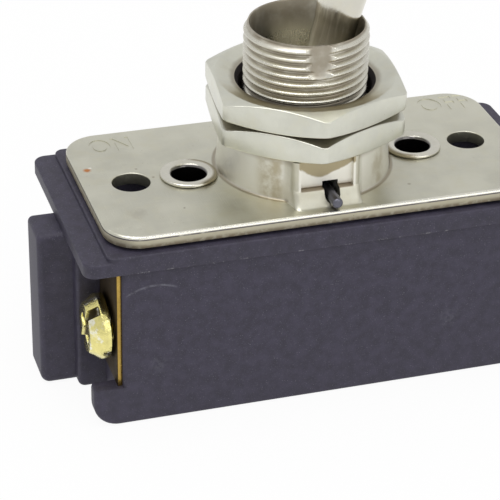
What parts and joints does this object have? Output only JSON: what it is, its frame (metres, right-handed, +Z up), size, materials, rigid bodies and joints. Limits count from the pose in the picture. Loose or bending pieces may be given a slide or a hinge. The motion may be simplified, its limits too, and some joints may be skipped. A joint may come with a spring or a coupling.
{
  "type": "toggle switch",
  "caption": "Enclosed two-pole toggle switch: dark moulded box, metal plate, threaded bushing with hexagon nuts, bat lever and brass screw terminals at both ends.",
  "frame": {"origin": "middle of the base's underside, on the bushing's axis", "axes": "+Z up along the bushing, +X along the long side towards OFF, -Y the plain front with the keyway"},
  "size_m": [0.0504, 0.0212, 0.052],
  "materials": {
    "phenolic": "moulded dark grey-violet phenolic, satin, fine pale speckle",
    "nickel_plate": "satin nickel plate, faintly yellow, light scratches",
    "nickel_bright": "bright nickel plate",
    "nickel_nut": "satin nickel plate on a stamped nut",
    "dark_steel": "dark oiled steel",
    "terminal_brass": "bare rolled brass",
    "screw_brass": "bright brass",
    "copper": "bare copper alloy, satin",
    "silver": "silver contact face, satin",
    "nylon": "natural moulded insulation, satin",
    "fibre": "red-brown vulcanised fibre",
    "spring_steel": "drawn spring wire"
  },
  "bodies": {
    "frame": {"base": "phenolic", "cover": "phenolic", "mounting_plate": "nickel_plate", "bushing": "nickel_bright", "pivot_pin": "dark_steel", "eyelet_left": "nickel_bright", "eyelet_right": "nickel_bright", "line_terminal_front": "terminal_brass", "load_terminal_front": "terminal_brass", "fixed_contact_front": "silver", "line_terminal_back": "terminal_brass", "load_terminal_back": "terminal_brass", "fixed_contact_back": "silver"},
    "lower_nut": {"lower_nut": "nickel_nut"},
    "upper_nut": {"upper_nut": "nickel_nut"},
    "lever": {"lever": "nickel_bright", "actuator": "nylon", "toggle_spring_front": "spring_steel", "toggle_spring_back": "spring_steel"},
    "rocker_front": {"rocker_front": "copper", "moving_contact_front": "silver"},
    "plunger_front": {"plunger_front": "fibre"},
    "terminal_screw_left_front": {"terminal_screw_left_front": "screw_brass"},
    "terminal_screw_right_front": {"terminal_screw_right_front": "screw_brass"},
    "rocker_back": {"rocker_back": "copper", "moving_contact_back": "silver"},
    "plunger_back": {"plunger_back": "fibre"},
    "terminal_screw_left_back": {"terminal_screw_left_back": "screw_brass"},
    "terminal_screw_right_back": {"terminal_screw_right_back": "screw_brass"}
  },
  "joints": [
    {"name": "lever_throw", "type": "hinge", "parent": "frame", "child": "lever", "pos_m": [0, 0, 0.01934], "axis": [0, 1, 0], "range_deg": [-24, 0]},
    {"name": "upper_nut_travel", "type": "slide", "parent": "frame", "child": "upper_nut", "axis": [0, 0, 1], "range_m": [0, 0.004]},
    {"name": "lower_nut_turn", "type": "hinge", "parent": "frame", "child": "lower_nut", "pos_m": [0, 0, 0.0239], "axis": [0, 0, 1], "continuous": true},
    {"name": "rocker_front_tilt", "type": "hinge", "parent": "frame", "child": "rocker_front", "pos_m": [0, -0.00601, 0.00546], "axis": [0, 1, 0], "range_deg": [0, 12]},
    {"name": "plunger_front_travel", "type": "slide", "parent": "lever", "child": "plunger_front", "axis": [0.2079, 0, 0.9781], "range_m": [0, 0.0006], "stiffness_N_per_m": 400, "springref_m": -0.0015, "deforming": ["toggle_spring_front"]},
    {"name": "terminal_screw_left_front_travel", "type": "slide", "parent": "frame", "child": "terminal_screw_left_front", "axis": [-1, 0, 0], "range_m": [0, 0.0018]},
    {"name": "terminal_screw_right_front_travel", "type": "slide", "parent": "frame", "child": "terminal_screw_right_front", "axis": [1, 0, 0], "range_m": [0, 0.0018]},
    {"name": "rocker_back_tilt", "type": "hinge", "parent": "frame", "child": "rocker_back", "pos_m": [0, 0.00601, 0.00546], "axis": [0, 1, 0], "range_deg": [0, 12]},
    {"name": "plunger_back_travel", "type": "slide", "parent": "lever", "child": "plunger_back", "axis": [0.2079, 0, 0.9781], "range_m": [0, 0.0006], "stiffness_N_per_m": 400, "springref_m": -0.0015, "deforming": ["toggle_spring_back"]},
    {"name": "terminal_screw_left_back_travel", "type": "slide", "parent": "frame", "child": "terminal_screw_left_back", "axis": [-1, 0, 0], "range_m": [0, 0.0018]},
    {"name": "terminal_screw_right_back_travel", "type": "slide", "parent": "frame", "child": "terminal_screw_right_back", "axis": [1, 0, 0], "range_m": [0, 0.0018]}
  ],
  "couplings": [
    {"joint": "rocker_front_tilt", "follows": "lever_throw", "ratio": -0.5},
    {"joint": "rocker_back_tilt", "follows": "lever_throw", "ratio": -0.5}
  ]
}
